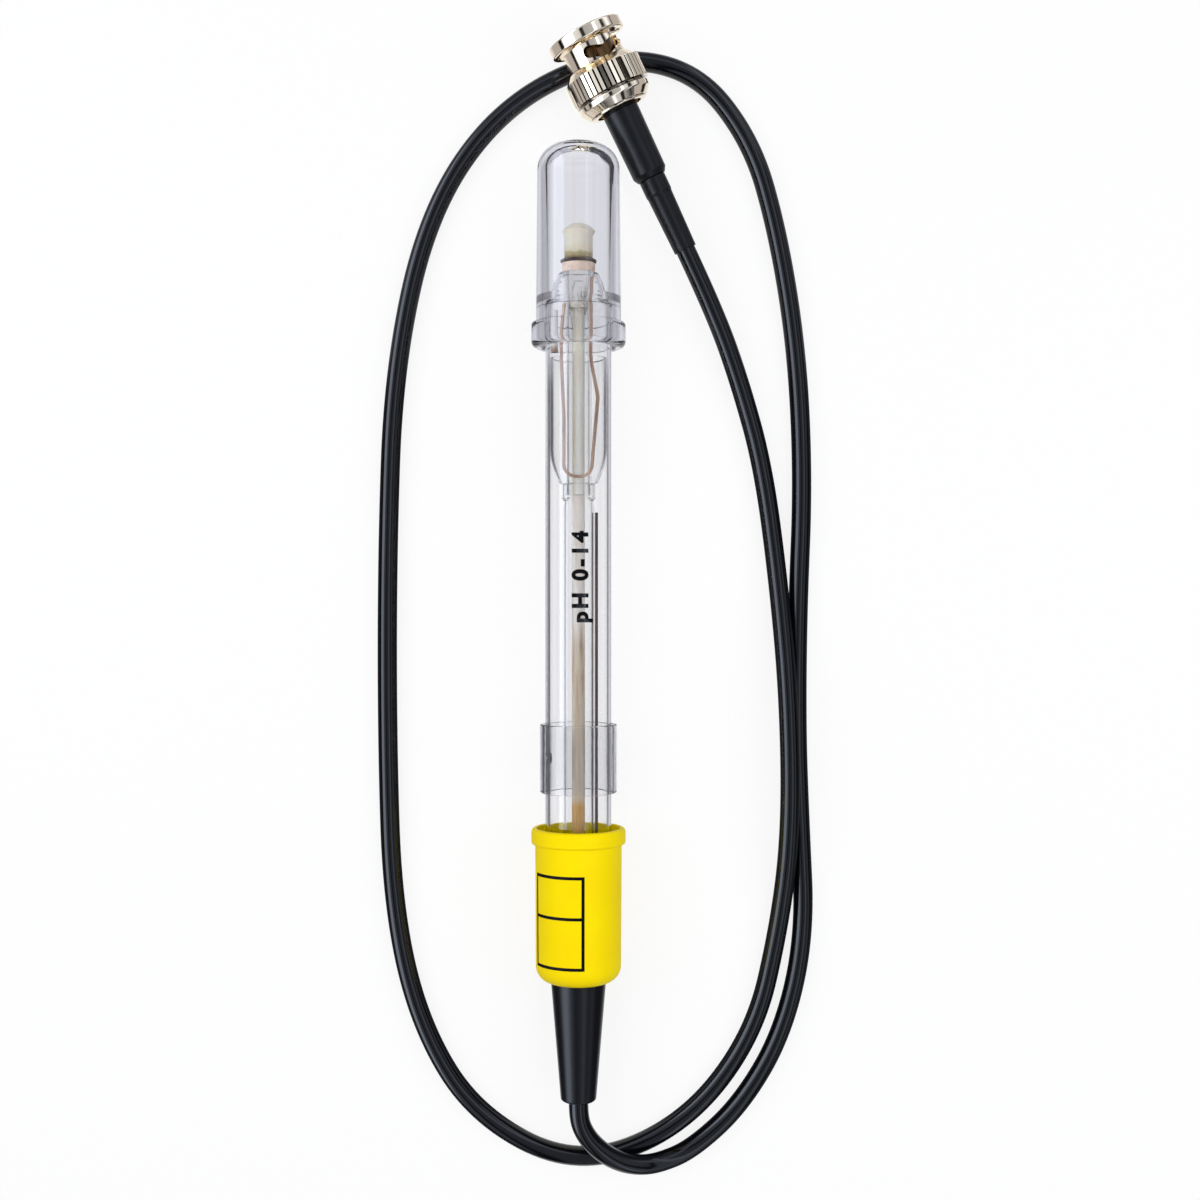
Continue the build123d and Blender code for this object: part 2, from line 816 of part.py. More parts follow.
os.makedirs("parts", exist_ok=True)
for name, shape in pieces.items():
    export_step(shape, f"parts/{name}.step")
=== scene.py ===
import json
import math
import random

import bpy
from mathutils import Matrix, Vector


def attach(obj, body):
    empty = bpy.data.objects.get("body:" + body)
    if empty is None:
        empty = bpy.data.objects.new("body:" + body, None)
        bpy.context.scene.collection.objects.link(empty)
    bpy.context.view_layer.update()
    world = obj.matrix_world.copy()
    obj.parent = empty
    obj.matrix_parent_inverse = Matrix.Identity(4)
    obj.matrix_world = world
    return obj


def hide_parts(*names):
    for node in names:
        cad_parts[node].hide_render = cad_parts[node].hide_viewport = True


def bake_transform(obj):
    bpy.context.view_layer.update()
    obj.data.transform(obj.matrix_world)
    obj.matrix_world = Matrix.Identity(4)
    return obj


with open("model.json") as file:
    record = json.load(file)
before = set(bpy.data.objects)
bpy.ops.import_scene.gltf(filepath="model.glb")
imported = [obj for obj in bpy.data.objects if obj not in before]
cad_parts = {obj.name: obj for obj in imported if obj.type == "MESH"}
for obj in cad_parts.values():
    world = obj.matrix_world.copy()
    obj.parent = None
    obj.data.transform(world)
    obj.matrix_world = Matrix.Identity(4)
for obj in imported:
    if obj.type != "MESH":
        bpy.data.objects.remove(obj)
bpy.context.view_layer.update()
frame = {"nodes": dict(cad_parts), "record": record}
nodes = frame["nodes"]

# Stations of the electrode, in metres, as the frame has them
AXIS_Z = 0.00855
HEAD_Y = -0.06505
MOUTH_Y = -0.03715
NECK_Y = 0.06315
CAP_TAPER_Y = NECK_Y - 0.0046
FIBRE_PLUG_Y = NECK_Y - 0.0055
STEM_Y = 0.0651
GLASS_R = 0.006
CABLE_D = 0.0036

# Where one look turns into another: from and to, in metres
BULB_STAIN_Y = (STEM_Y + 0.0004, STEM_Y + 0.0034)
WICK_TONE_Y = (0.0488, 0.0503)
SHEATH_PALE_Y = (-0.0041, 0.0001)
SHEATH_AMBER_Y = (-0.0313, -0.0333)
TAPER_REACH = (0.0007, 0.0009)
CAP_INNER_R = (0.0062, 0.0064)
CAP_SIDE_X = (0.0040, 0.0048)

ELECTRODE = "electrode"

# The lead's route in millimetres, from the strain relief to the plug's sleeve
ROUTE_MM = [
    (0, -86.65, 8.55),
    (0, -89.3, 8.55),
    (0.7, -92.0, 8.4),
    (2.6, -94.9, 7.9),
    (5.8, -97.7, 7.0),
    (9.9, -99.6, 5.4),
    (14.6, -100.0, 3.4),
    (21.2, -97.7, 2.0),
    (30.3, -89.3, 1.85),
    (38.0, -75.9, 1.85),
    (42.0, -57.9, 1.85),
    (41.0, -36.9, 1.85),
    (40.4, -19.9, 1.85),
    (40.6, 2.1, 1.85),
    (41.6, 26.1, 1.85),
    (40.5, 50.1, 1.85),
    (37.0, 72.1, 1.85),
    (32.0, 89.6, 1.85),
    (21.0, 103.1, 1.85),
    (3.5, 104.9, 1.85),
    (-15.0, 95.1, 1.85),
    (-28.0, 76.1, 1.85),
    (-34.4, 47.1, 1.85),
    (-35.6, 13.1, 1.85),
    (-35.6, -22.9, 1.85),
    (-34.6, -52.9, 1.85),
    (-29.5, -74.9, 1.85),
    (-19.2, -91.6, 1.85),
    (-0.5, -101.2, 1.85),
    (19.0, -93.9, 1.85),
    (32.5, -76.9, 1.85),
    (37.3, -55.9, 2.0),
    (38.9, -37.4, 6.0),
    (38.5, -14.4, 6.2),
    (37.0, 7.1, 2.6),
    (34.2, 28.9, 1.85),
    (29.8, 44.4, 2.7),
    (25.11, 56.98, 4.3),
    (19.549, 68.289, 5.845),
]


# Node trees

def srgb(red, green, blue):
    """A screen colour as the linear colour that a shader takes."""
    def linear(value):
        value /= 255
        return value / 12.92 if value <= 0.04045 else ((value + 0.055) / 1.055) ** 2.4
    return (linear(red), linear(green), linear(blue), 1)


def grey(level):
    return (level, level, level, 1)


WHITE = grey(1)


class Tree:
    """A node tree, with helpers that add nodes to it. A value is a number, a colour or a socket."""

    def __init__(self, owner):
        owner.use_nodes = True
        self.tree = owner.node_tree

    def feed(self, socket, value):
        if isinstance(value, bpy.types.NodeSocket):
            self.tree.links.new(value, socket)
        else:
            socket.default_value = value

    def node(self, kind, settings=None, **inputs):
        made = self.tree.nodes.new(kind)
        for key, value in (settings or {}).items():
            setattr(made, key, value)
        for key, value in inputs.items():
            self.feed(made.inputs[key.replace("_", " ")], value)
        return made

    def numbered(self, kind, settings, values):
        """A node whose inputs are told apart by their numbers."""
        made = self.node(kind, settings)
        for index, value in values.items():
            self.feed(made.inputs[index], value)
        return made

    def coordinates(self, kind):
        return self.node("ShaderNodeTexCoord").outputs[kind]

    def rays(self):
        return self.node("ShaderNodeLightPath").outputs

    def ramp(self, value, *stops):
        made = self.node("ShaderNodeValToRGB", Fac=value)
        elements = made.color_ramp.elements
        while len(elements) < len(stops):
            elements.new(0.5)
        for element, (position, colour) in zip(elements, stops):
            element.position = position
            element.color = colour
        return made.outputs["Color"]

    def spread(self, value, low_in, high_in, low_out, high_out):
        made = self.node("ShaderNodeMapRange", Value=value, From_Min=low_in, From_Max=high_in,
                         To_Min=low_out, To_Max=high_out)
        return made.outputs["Result"]

    def math(self, operation, first, second=0.0):
        made = self.numbered("ShaderNodeMath", {"operation": operation}, {0: first, 1: second})
        return made.outputs[0]

    def mix(self, share, first, second):
        """A colour between two others."""
        values = {0: share, 6: first, 7: second}
        return self.numbered("ShaderNodeMix", {"data_type": "RGBA"}, values).outputs[2]

    def choose(self, share, first, second):
        """A shader between two others."""
        made = self.numbered("ShaderNodeMixShader", None, {0: share, 1: first, 2: second})
        return made.outputs["Shader"]


# Materials

finishes = {}


class Finish(Tree):
    """A material around one Principled shader, kept by its name in finishes."""

    def __init__(self, name, colour, **settings):
        self.material = bpy.data.materials.new(name)
        super().__init__(self.material)
        self.shader = self.tree.nodes["Principled BSDF"]
        self.out = self.tree.nodes["Material Output"]
        for key, value in {"Base_Color": colour, **settings}.items():
            self.shader.inputs[key.replace("_", " ")].default_value = value
        finishes[name] = self

    def noise(self, scale, detail=3, roughness=0.55, stretch=(1, 1, 1)):
        place = self.node("ShaderNodeMapping", Vector=self.coordinates("Object"), Scale=stretch)
        made = self.node("ShaderNodeTexNoise", Vector=place.outputs["Vector"], Scale=scale,
                         Detail=detail, Roughness=roughness)
        return made.outputs["Fac"]

    def axis(self, letter):
        """One of the frame's coordinates, in metres."""
        split = self.node("ShaderNodeSeparateXYZ", Vector=self.coordinates("Object"))
        return split.outputs[letter]

    def distance(self, first, second):
        """The length of two coordinates taken together."""
        squares = [self.math("MULTIPLY", value, value) for value in (first, second)]
        return self.math("SQRT", self.math("ADD", *squares))

    def shades(self, value, *stops):
        """A ramp of screen colours."""
        return self.ramp(value, *((position, srgb(*colour)) for position, colour in stops))

    def colour(self, socket):
        self.feed(self.shader.inputs["Base Color"], socket)

    def mottle(self, value, *stops):
        self.colour(self.shades(value, *stops))

    def rough(self, socket):
        self.feed(self.shader.inputs["Roughness"], socket)

    def bump(self, height, strength, distance):
        made = self.node("ShaderNodeBump", Height=height, Strength=strength, Distance=distance)
        self.feed(self.shader.inputs["Normal"], made.outputs["Normal"])

    def absorb(self, colour, density):
        """Darker where light crosses more of the material, as along a thick wall."""
        volume = self.node("ShaderNodeVolumeAbsorption", Color=colour, Density=density)
        self.feed(self.out.inputs["Volume"], volume.outputs["Volume"])

    def lets_light_through(self, tint):
        """Shadow rays pass, so that what lies behind the glass is lit through it."""
        clear = self.node("ShaderNodeBsdfTransparent", Color=tint)
        either = self.choose(self.rays()["Is Shadow Ray"], self.shader.outputs["BSDF"],
                             clear.outputs["BSDF"])
        self.feed(self.out.inputs["Surface"], either)


def clear_finishes():
    """The cap, the blown glass and the sleeve over the fill hole."""
    cap = Finish("clear_cap", WHITE, Roughness=0.02, IOR=1.49, Transmission_Weight=1.0)
    cap.bump(cap.noise(160, 2), 0.08, 0.0002)
    cap.absorb((0.60, 0.60, 0.68, 1), 62)
    cap.rough(cap.spread(frosted_taper(cap), 0, 1, 0.02, 0.4))
    cap.lets_light_through((0.985, 0.985, 0.99, 1))

    glass = Finish("clear_glass", WHITE, Roughness=0.0, IOR=1.5, Transmission_Weight=1.0)
    glass.absorb((0.60, 0.60, 0.66, 1), 12)
    glass.lets_light_through(grey(0.99))

    band = Finish("clear_band", WHITE, Roughness=0.05, IOR=1.45, Transmission_Weight=1.0)
    band.bump(band.noise(260, 3), 0.14, 0.0002)
    band.absorb((0.60, 0.59, 0.66, 1), 120)
    band.lets_light_through(grey(0.97))


def frosted_taper(cap):
    """One on the sides of the cap's inner taper, where clear plastic would trap the light."""
    from_taper = cap.math("ABSOLUTE", cap.math("SUBTRACT", cap.axis("Y"), CAP_TAPER_Y))
    side = cap.axis("X")
    from_axis = cap.distance(side, cap.math("SUBTRACT", cap.axis("Z"), AXIS_Z))
    along = cap.spread(from_taper, *TAPER_REACH, 1, 0)
    inner_wall = cap.spread(from_axis, *CAP_INNER_R, 1, 0)
    outward = cap.spread(cap.math("ABSOLUTE", side), *CAP_SIDE_X, 0, 1)
    return cap.math("MULTIPLY", cap.math("MULTIPLY", along, inner_wall), outward)


def inner_finishes():
    """What stands inside the glass, from the bulb down to the resin."""
    bulb = Finish("bulb_glass", srgb(236, 222, 204), Roughness=0.12, IOR=1.45,
                  Transmission_Weight=0.35, Subsurface_Weight=0.3, Subsurface_Scale=0.002)
    height = bulb.spread(bulb.axis("Y"), *BULB_STAIN_Y, 0, 1)
    cloud = bulb.spread(bulb.noise(900, 3), 0.3, 0.7, -0.12, 0.12)
    bulb.mottle(bulb.math("ADD", height, cloud), (0.0, (156, 140, 98)), (0.38, (188, 172, 126)),
                (0.48, (232, 216, 186)), (1.0, (246, 232, 214)))

    ring = Finish("ring_ceramic", srgb(217, 191, 170), Roughness=0.55)
    ring.mottle(ring.noise(1200, 4), (0.3, (200, 168, 148)), (0.7, (228, 206, 186)))

    seal = Finish("brown_seal", srgb(62, 46, 36), Roughness=0.5)
    seal.mottle(seal.noise(900, 3), (0.35, (40, 30, 25)), (0.7, (96, 72, 52)))

    rod = Finish("cream_rod", srgb(252, 250, 242), Roughness=0.3, IOR=1.35,
                 Transmission_Weight=0.05)
    streak = rod.noise(500, 4, 0.6, (1.6, 0.07, 1.6))
    rod.mottle(streak, (0.28, (226, 208, 168)), (0.45, (248, 242, 224)), (0.6, (255, 254, 248)),
               (0.72, (240, 226, 196)), (0.85, (255, 253, 246)))
    rod.bump(streak, 0.4, 0.0002)

    fibre = Finish("fibre", srgb(228, 220, 200), Roughness=0.8)
    fibre.mottle(fibre.noise(1500, 4), (0.3, (220, 208, 182)), (0.65, (252, 249, 240)))
    fibre.bump(fibre.noise(2500, 4), 0.8, 0.0003)

    dark_wire = Finish("dark_wire", srgb(54, 40, 30), Roughness=0.45, Metallic=0.3)
    dark_wire.mottle(dark_wire.noise(300, 4, 0.6, (1, 0.2, 1)), (0.3, (40, 28, 20)),
                     (0.7, (84, 62, 44)))

    sheath = Finish("sheath", srgb(216, 204, 190), Roughness=0.35, IOR=1.35,
                    Transmission_Weight=0.05)
    grain = sheath.noise(420, 5, 0.65, (1.8, 0.1, 1.8))
    pale = sheath.shades(grain, (0.3, (214, 200, 186)), (0.55, (238, 230, 222)),
                         (0.8, (252, 248, 244)))
    stained = sheath.shades(grain, (0.28, (130, 106, 80)), (0.40, (196, 176, 150)),
                            (0.6, (224, 210, 192)), (0.80, (248, 244, 236)))
    amber = sheath.shades(grain, (0.3, (130, 88, 32)), (0.48, (196, 146, 70)),
                          (0.7, (226, 188, 120)), (0.82, (252, 244, 230)))
    along = sheath.axis("Y")
    tone = sheath.mix(sheath.spread(along, *SHEATH_PALE_Y, 0, 1), stained, pale)
    sheath.colour(sheath.mix(sheath.spread(along, *SHEATH_AMBER_Y, 0, 1), tone, amber))
    sheath.bump(grain, 0.5, 0.0002)

    copper = Finish("copper_wire", srgb(205, 165, 140), Roughness=0.28, Metallic=0.75)
    copper.mottle(copper.noise(400, 4, 0.6, (1, 0.3, 1)), (0.3, (150, 104, 78)),
                  (0.5, (208, 166, 138)), (0.75, (238, 210, 178)))
    copper.bump(copper.noise(2600, 3), 0.5, 0.0001)

    wick = Finish("wick", srgb(190, 180, 165), Roughness=0.6)
    wick.mottle(wick.spread(wick.axis("Y"), *WICK_TONE_Y, 0, 1), (0.0, (128, 84, 58)),
                (0.5, (170, 150, 130)), (1.0, (226, 222, 216)))

    resin = Finish("potting", srgb(214, 172, 20), Roughness=0.3)
    resin.mottle(resin.noise(200, 3), (0.3, (190, 148, 10)), (0.7, (228, 190, 40)))


def outer_finishes():
    """The head, the strain relief, the lead, its sleeves and the plug's nut."""
    yellow = Finish("yellow_head", srgb(255, 226, 0), Roughness=0.45, Specular_IOR_Level=0.08)
    yellow.mottle(yellow.noise(90, 3), (0.3, (254, 222, 0)), (0.7, (255, 230, 0)))
    yellow.bump(yellow.noise(2400, 2), 0.08, 0.00005)

    relief = Finish("black_relief", srgb(8, 9, 13), Roughness=0.3, Specular_IOR_Level=0.3)
    relief.bump(relief.noise(1800, 2), 0.15, 0.00005)

    cable = Finish("black_cable", srgb(7, 8, 12), Roughness=0.13, IOR=1.5, Specular_IOR_Level=0.38)
    cable.bump(cable.noise(120, 3), 0.06, 0.0003)
    cable.rough(cable.spread(cable.noise(300, 3), 0.3, 0.7, 0.10, 0.17))

    shrink = Finish("shrink_sleeve", srgb(8, 9, 13), Roughness=0.34, Specular_IOR_Level=0.3)
    shrink.bump(shrink.noise(300, 3, 0.5), 0.18, 0.0003)

    # Painted shade: the metal's colour darkens in its grooves and recesses, by ambient occlusion
    nickel = Finish("nickel", srgb(246, 230, 204), Roughness=0.1, Metallic=1.0)
    painted_groove_shade = nickel.node("ShaderNodeAmbientOcclusion", Distance=0.0007).outputs["AO"]
    nickel.mottle(painted_groove_shade, (0.45, (48, 38, 30)), (0.85, (246, 230, 204)))
    nickel.rough(nickel.spread(nickel.noise(700, 3), 0.3, 0.7, 0.05, 0.10))


def plain_finishes():
    """The plug's inside and the printing, each of one even colour."""
    # The contact's dark bronze is partly its own colour and partly painted shade, so that the
    # slot's recess looks dark
    Finish("contact_nickel", srgb(96, 72, 46), Roughness=0.3, Metallic=1.0)
    Finish("insulator", srgb(236, 236, 230), Roughness=0.5)
    Finish("gilt", srgb(224, 176, 90), Roughness=0.25, Metallic=1.0)
    Finish("gasket", srgb(150, 60, 44), Roughness=0.6)
    Finish("ferrule", srgb(30, 26, 24), Roughness=0.4, Metallic=0.5)
    Finish("black_print", srgb(5, 5, 7), Roughness=0.6, Specular_IOR_Level=0.1)


clear_finishes()
inner_finishes()
outer_finishes()
plain_finishes()

slots = {part["node"]: part["material_slot"] for part in frame["record"]["subparts"]}
for node_name, node in nodes.items():
    node.data.materials.clear()
    node.data.materials.append(finishes[slots[node_name]].material)


# Pieces

CAP_CREASE = 8


def add_object(name, data):
    made = bpy.data.objects.new(name, data)
    bpy.context.scene.collection.objects.link(made)
    return made


def add_mesh(name, vertices, faces):
    mesh = bpy.data.meshes.new(name)
    mesh.from_pydata(vertices, [], faces)
    mesh.update()
    return add_object(name, mesh)


def mesh_of(curve):
    """A curve or a text as a mesh."""
    holder = add_object(curve.name + "_flat", curve)
    bpy.context.view_layer.update()
    depsgraph = bpy.context.evaluated_depsgraph_get()
    mesh = bpy.data.meshes.new_from_object(holder.evaluated_get(depsgraph))
    bpy.data.objects.remove(holder)
    return mesh


def smooth(piece, degrees=40):
    """Smooth faces, with edges kept sharp where faces turn by more than the angle."""
    for face in piece.data.polygons:
        face.use_smooth = True
    piece.data.set_sharp_from_angle(angle=math.radians(degrees))


def dress(piece, finish, body=None):
    piece.data.materials.append(finishes[finish].material)
    if body:
        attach(piece, body)


def ring_around(point, across, other, radius, sides):
    corners = []
    for side in range(sides):
        angle = 2 * math.pi * side / sides
        corners.append(point + (across * math.cos(angle) + other * math.sin(angle)) * radius)
    return corners


def tube_faces(start, rings, sides):
    """The wall between rings of corners, the first of which has the number start."""
    faces = []
    for ring in range(rings - 1):
        near = start + ring * sides
        far = near + sides
        for side in range(sides):
            after = (side + 1) % sides
            faces.append((near + side, near + after, far + after, far + side))
    return faces


smooth(nodes["storage_cap"], CAP_CREASE)


# Lead

LEAD_SIDES = 24


def route_line():
    """Points along the route's smooth line."""
    curve = bpy.data.curves.new("lead_route", "CURVE")
    curve.dimensions = "3D"
    curve.resolution_u = 14
    spline = curve.splines.new("NURBS")
    spline.points.add(len(ROUTE_MM) - 1)
    for point, place in zip(spline.points, ROUTE_MM):
        point.co = (*(Vector(place) / 1000), 1)
    spline.order_u = 3
    spline.use_endpoint_u = True
    mesh = mesh_of(curve)
    line = [vertex.co.copy() for vertex in mesh.vertices]
    bpy.data.meshes.remove(mesh)
    return line


def swept(name, line, radius, sides):
    """A round rod along points, closed at both ends."""
    vertices = []
    across = (line[1] - line[0]).normalized().orthogonal().normalized()
    for index, point in enumerate(line):
        ahead = line[min(index + 1, len(line) - 1)]
        behind = line[max(index - 1, 0)]
        heading = (ahead - behind).normalized()
        across = (across - heading * across.dot(heading)).normalized()
        vertices += ring_around(point, across, heading.cross(across), radius, sides)
    last = (len(line) - 1) * sides
    faces = tube_faces(0, len(line), sides)
    faces.append(tuple(reversed(range(sides))))
    faces.append(tuple(range(last, last + sides)))
    piece = add_mesh(name, vertices, faces)
    smooth(piece)
    return piece


lead_line = route_line()
lead = swept("lead", lead_line, CABLE_D / 2, LEAD_SIDES)
dress(lead, "black_cable")
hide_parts("cable_start", "cable_loop")
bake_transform(lead)


# Printing

PRINT_LIFT = 0.00002
STRIP_STEP = 3

HEAD_RIM_LEN = 0.00295
HEAD_FOOT_R = 0.007725
HEAD_FLARE = 0.000125
LABEL_R = 0.0078

LABEL_LEFT, LABEL_RIGHT = -67.0, 4.6
LABEL_TOP, LABEL_MIDDLE, LABEL_FOOT = -0.04485, -0.0521, -0.0610
LINE = 0.00056
LINE_ANGLE = math.degrees(LINE / LABEL_R)

MARKING_SIZE = 0.0039
MARKING_Y = 0.0082
MARKING_ANGLE = 5.0
LETTER_WEIGHT = 0.045
LETTER_SPACING = 1.28


def on_round(radius, angle, y):
    """A place on the electrode's outside, with the angle from the top toward +X."""
    return (radius * math.sin(angle), y, AXIS_Z + radius * math.cos(angle))


def head_radius(y):
    """The head's outer radius on its straight side."""
    share = (y - HEAD_Y) / (MOUTH_Y - HEAD_RIM_LEN - HEAD_Y)
    return HEAD_FOOT_R + HEAD_FLARE * share


def wrapped(name, strips, finish, body):
    """Printed strips around the head, each from one corner to the other in degrees and metres."""
    vertices = []
    faces = []
    for (angle_low, y_low), (angle_high, y_high) in strips:
        steps = max(1, int(abs(angle_high - angle_low) / STRIP_STEP))
        start = len(vertices)
        for step in range(steps + 1):
            angle = math.radians(angle_low + (angle_high - angle_low) * step / steps)
            vertices += [on_round(head_radius(y) + PRINT_LIFT, angle, y) for y in (y_low, y_high)]
        for step in range(steps):
            base = start + 2 * step
            faces.append((base, base + 1, base + 3, base + 2))
    piece = add_mesh(name, vertices, faces)
    smooth(piece)
    dress(piece, finish, body)


def wrapped_text(name, words, size, centre_y, centre_angle, finish, body):
    """Bold lettering that reads up the glass, bent to its surface."""
    curve = bpy.data.curves.new(name, "FONT")
    curve.body = words
    curve.size = size
    curve.align_x = "CENTER"
    curve.align_y = "CENTER"
    curve.offset = size * LETTER_WEIGHT
    curve.space_character = LETTER_SPACING
    curve.resolution_u = 6
    mesh = mesh_of(curve)
    for vertex in mesh.vertices:
        angle = math.radians(centre_angle) - vertex.co.y / GLASS_R
        vertex.co = on_round(GLASS_R + PRINT_LIFT, angle, centre_y + vertex.co.x)
    mesh.update()
    dress(add_object(name, mesh), finish, body)


wrapped("head_label", [
    ((LABEL_LEFT, LABEL_TOP - LINE), (LABEL_RIGHT, LABEL_TOP)),
    ((LABEL_LEFT, LABEL_MIDDLE - LINE), (LABEL_RIGHT, LABEL_MIDDLE)),
    ((LABEL_LEFT, LABEL_FOOT - LINE), (LABEL_RIGHT, LABEL_FOOT)),
    ((LABEL_LEFT - LINE_ANGLE, LABEL_FOOT - LINE), (LABEL_LEFT, LABEL_TOP)),
    ((LABEL_RIGHT, LABEL_FOOT - LINE), (LABEL_RIGHT + LINE_ANGLE, LABEL_TOP)),
], "black_print", ELECTRODE)
wrapped_text("glass_marking", "pH 0-14", MARKING_SIZE, MARKING_Y, MARKING_ANGLE, "black_print",
             ELECTRODE)


# Fibres around the plug in the stem

# How far from the axis the strands reach, just short of the stem's wall
STRAND_REACH = 0.00178
STRAND_POINTS = 9
STRAND_SIDES = 4
STRAND_STEP = 0.24
STRAND_LEAN = (1, 0.45, 1)
STRAND_TWIST = 0.5
STRAND_CURL = 0.35


def strands(name, count, seed, half_height, thickness, finish):
    """A tangle of short fibres around the fibre plug, kept inside the stem."""
    centre = Vector((0, FIBRE_PLUG_Y, AXIS_Z))
    half = (STRAND_REACH, half_height, STRAND_REACH)
    pick = random.Random(seed)
    vertices = []
    faces = []
    for _ in range(count):
        place = Vector([pick.uniform(-1, 1) * reach for reach in half])
        heading = Vector([pick.gauss(0, spread) for spread in STRAND_LEAN]).normalized()
        curl = Vector([pick.gauss(0, 1) for _ in range(3)]) * STRAND_TWIST
        line = []
        for _ in range(STRAND_POINTS):
            past_wall = math.hypot(place.x, place.z) / STRAND_REACH
            if past_wall > 1:
                place.x /= past_wall
                place.z /= past_wall
            line.append(centre + place)
            heading = (heading + curl * STRAND_CURL).normalized()
            place = place + heading * STRAND_REACH * STRAND_STEP
        across = heading.orthogonal().normalized()
        other = heading.cross(across)
        faces += tube_faces(len(vertices), len(line), STRAND_SIDES)
        for point in line:
            vertices += ring_around(point, across, other, thickness, STRAND_SIDES)
    piece = add_mesh(name, vertices, faces)
    smooth(piece, 180)
    dress(piece, finish, ELECTRODE)


strands("fibre_strands", count=70, seed=7, half_height=0.0018, thickness=0.00008, finish="fibre")
strands("fibre_ends", count=26, seed=11, half_height=0.0020, thickness=0.00005, finish="dark_wire")


# Floor

FLOOR_REACH = 3.0
FLOOR_WHITE = 0.85

# The more even stretch under the cap, and the white spot under the plug with its squared reach
CAP_SHEET = (0.72, 0.72, 0.78, 1)
CAP_SHEET_Y = (0.044, 0.052)
CAP_SHEET_SHARE = 0.6
PLUG_SPOT = (0.004, 0.103)
PLUG_SPOT_REACH = (0.0003, 0.0006)
PLUG_SPOT_SHARE = 0.8

# What glass and metal see of the floor, from 20 mm left of the electrode's axis to 20 mm right
SHEET_HALF = 0.02
SHEET = (
    (0.16, (0.06, 0.06, 0.08, 1)),
    (0.22, (0.36, 0.36, 0.42, 1)),
    (0.27, (0.94, 0.94, 0.97, 1)),
    (0.42, (0.97, 0.97, 0.99, 1)),
    (0.46, WHITE),
    (0.54, WHITE),
    (0.58, (0.97, 0.97, 0.99, 1)),
    (0.75, (0.95, 0.95, 0.98, 1)),
    (0.82, (0.46, 0.46, 0.51, 1)),
    (0.89, (0.10, 0.10, 0.12, 1)),
)


def make_floor():
    """A sheet, white to the eye. Glass and metal see it dark further out from the electrode."""
    corners = [(-1, -1), (1, -1), (1, 1), (-1, 1)]
    floor = add_mesh("floor", [(x * FLOOR_REACH, y * FLOOR_REACH, 0) for x, y in corners],
                     [(0, 1, 2, 3)])
    look = Finish("floor", grey(0.93), Roughness=0.9, Specular_IOR_Level=0.0)
    rays = look.rays()

    # Dark far from the axis, more even under the cap, and white under the plug in the metal
    sheet = look.ramp(look.spread(look.axis("X"), -SHEET_HALF, SHEET_HALF, 0, 1), *SHEET)
    by_cap = look.spread(look.axis("Y"), *CAP_SHEET_Y, 0, CAP_SHEET_SHARE)
    sheet = look.mix(by_cap, sheet, CAP_SHEET)
    offsets = [look.math("ABSOLUTE", look.math("SUBTRACT", look.axis(letter), middle))
               for letter, middle in zip("XY", PLUG_SPOT)]
    squares = [look.math("POWER", offset, 2.0) for offset in offsets]
    by_plug = look.spread(look.math("ADD", *squares), *PLUG_SPOT_REACH, PLUG_SPOT_SHARE, 0)
    reflected = look.math("SUBTRACT", 1.0, rays["Is Transmission Ray"])
    under_metal = look.math("MULTIPLY", by_plug, reflected)
    seen = look.node("ShaderNodeEmission", Color=look.mix(under_metal, sheet, WHITE), Strength=1.0)
    white = look.node("ShaderNodeEmission", Color=WHITE, Strength=1.0)

    # Only a first look sees the sheet, and light that was scattered before meets the plain floor
    first_look = look.math("SUBTRACT", 0.95, rays["Diffuse Depth"])
    bent = look.math("MAXIMUM", rays["Is Glossy Ray"], rays["Is Transmission Ray"])
    through = look.choose(look.math("MAXIMUM", look.math("MULTIPLY", bent, first_look), 0.0),
                          look.shader.outputs["BSDF"], seen.outputs["Emission"])
    either = look.choose(look.math("MULTIPLY", rays["Is Camera Ray"], FLOOR_WHITE), through,
                         white.outputs["Emission"])
    look.feed(look.out.inputs["Surface"], either)
    floor.data.materials.append(look.material)


# World

# Levels of the room from the horizon up, for light that falls on the object
ROOM = ((0.0, 0.10), (0.2, 0.25), (0.5, 0.50), (1.0, 0.55))
# Levels of its mirror image from left to right, and of a strip past the cap
STRIPS_ACROSS = (
    (0.025, 0.0), (0.045, 1.0), (0.175, 1.0), (0.205, 0.22), (0.35, 0.18), (0.365, 0.006),
    (0.435, 0.006), (0.455, 0.11), (0.655, 0.13), (0.675, 0.45), (0.71, 0.45), (0.73, 0.2),
    (0.80, 0.2), (0.815, 0.006), (0.855, 0.006), (0.875, 0.18), (0.955, 0.15), (0.975, 0.0),
)
STRIP_BEYOND = ((0.74, 0.0), (0.77, 0.3), (0.86, 0.3), (0.90, 0.0))
STRIP_POWER = 4.5
# What shows through glass, dark square to the electrode and brighter toward its two ends
THROUGH_TURN = (0.1, 0.6)
THROUGH_POWER = (0.25, 0.9)
# Tints of the room, of its mirror image and of what shows through glass
ROOM_TINT = (0.98, 1.0, 1.04, 1)
STRIP_TINT = (0.86, 0.94, 1.1, 1)
THROUGH_TINT = (0.96, 0.96, 1.0, 1)


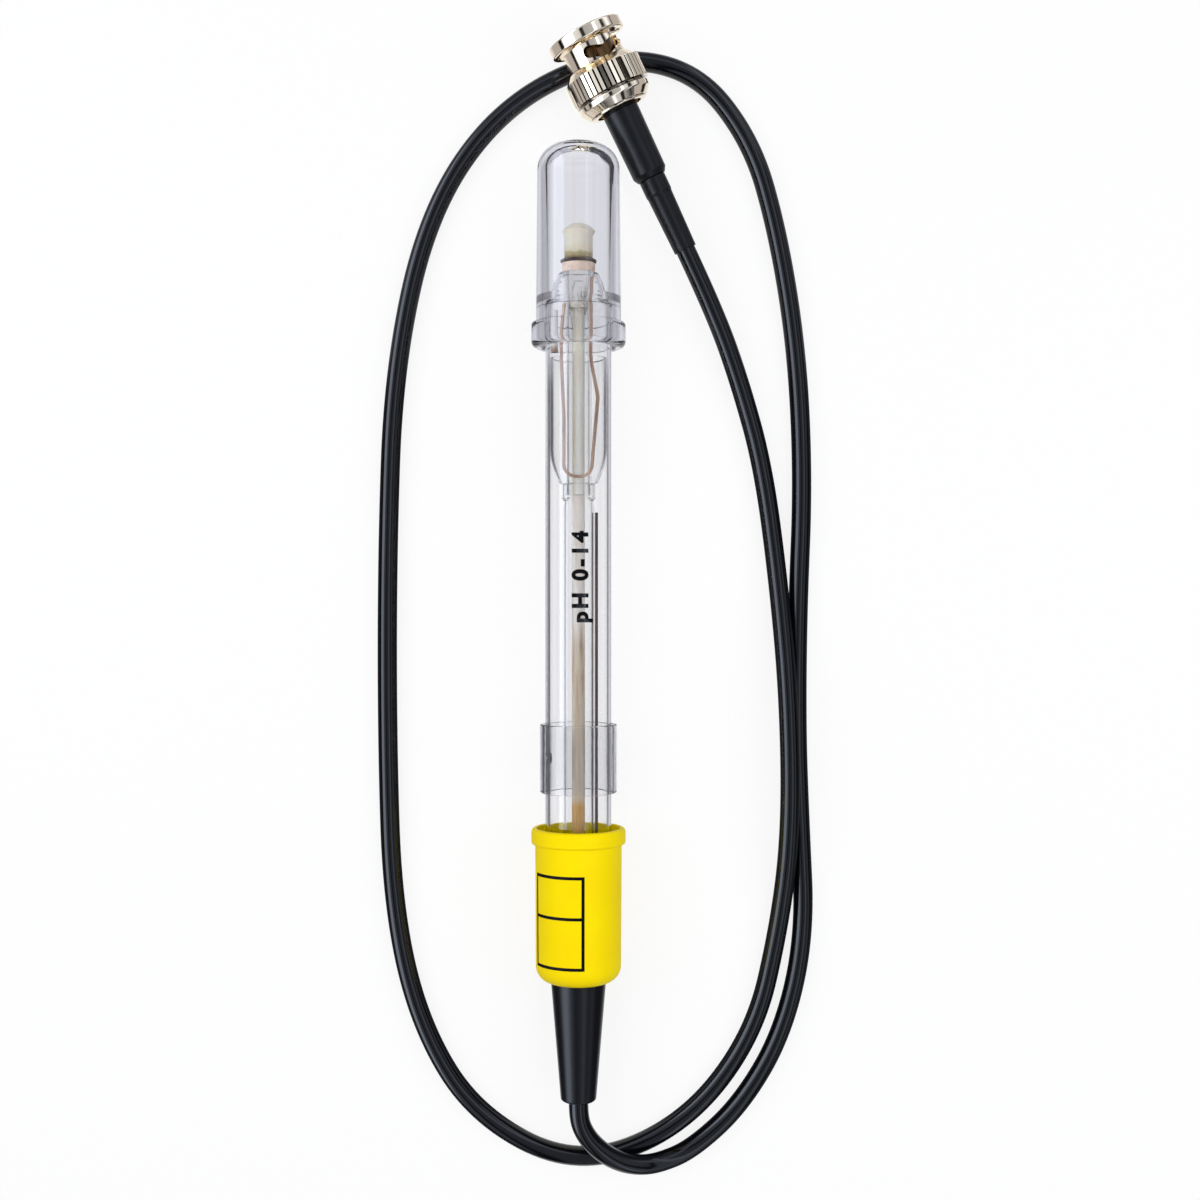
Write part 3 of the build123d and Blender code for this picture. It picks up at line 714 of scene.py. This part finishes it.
def make_world():
    """A soft room with bright strips in its mirror image, and a white backdrop."""
    world = bpy.data.worlds.new("studio")
    bpy.context.scene.world = world
    look = Tree(world)
    look.tree.nodes.clear()

    def levels(value, stops):
        return look.ramp(value, *((position, grey(level)) for position, level in stops))

    def backdrop(strength, colour):
        made = look.node("ShaderNodeBackground", Color=colour, Strength=strength)
        return made.outputs["Background"]

    split = look.node("ShaderNodeSeparateXYZ", Vector=look.coordinates("Generated"))
    side, along, up = split.outputs
    rays = look.rays()

    across = levels(look.spread(side, -1, 1, 0, 1), STRIPS_ACROSS)
    beyond = levels(look.spread(along, -1, 1, 0, 1), STRIP_BEYOND)
    strips = look.math("MULTIPLY", look.math("MAXIMUM", across, beyond),
                       look.spread(up, 0.0, 0.3, 0, STRIP_POWER))
    through = look.spread(look.math("ABSOLUTE", along), *THROUGH_TURN, *THROUGH_POWER)

    seen = look.choose(rays["Is Glossy Ray"], backdrop(levels(up, ROOM), ROOM_TINT),
                       backdrop(strips, STRIP_TINT))
    first_look = look.math("LESS_THAN", rays["Diffuse Depth"], 0.5)
    seen = look.choose(look.math("MULTIPLY", rays["Is Transmission Ray"], first_look), seen,
                       backdrop(through, THROUGH_TINT))
    seen = look.choose(rays["Is Camera Ray"], seen, backdrop(1.0, WHITE))
    look.node("ShaderNodeOutputWorld", Surface=seen)


# Lamps and camera

SOFTBOX_SIZE = (0.30, 0.40)
SOFTBOX_AIM = Vector((0, 0, 0))
SOFTBOXES = (
    ("left_softbox", (-0.28, 0.08, 0.40), 1.0),
    ("right_softbox", (0.28, 0.0, 0.40), 0.9),
)
CAMERA_PLACE = (0.0039, 0.0041, 0.29455)
CAMERA_LENS = 47.28


def add_softbox(name, place, power):
    """A lamp aimed at the object, without an image of its own in gloss or glass."""
    lamp = bpy.data.lights.new(name, "AREA")
    lamp.shape = "RECTANGLE"
    lamp.size, lamp.size_y = SOFTBOX_SIZE
    lamp.energy = power
    holder = add_object(name, lamp)
    holder.location = place
    holder.rotation_mode = "QUATERNION"
    holder.rotation_quaternion = (SOFTBOX_AIM - Vector(place)).to_track_quat("-Z", "Y")
    holder.visible_glossy = False
    holder.visible_transmission = False


def make_camera():
    """The camera straight above the object, which looks down."""
    camera = bpy.data.cameras.new("camera")
    camera.sensor_width = 36
    camera.lens = CAMERA_LENS
    camera.clip_start = 0.01
    camera.clip_end = 20
    holder = add_object("camera", camera)
    holder.location = CAMERA_PLACE
    bpy.context.scene.camera = holder


make_floor()
make_world()
for softbox in SOFTBOXES:
    add_softbox(*softbox)
make_camera()

bpy.context.scene.view_settings.view_transform = "Standard"
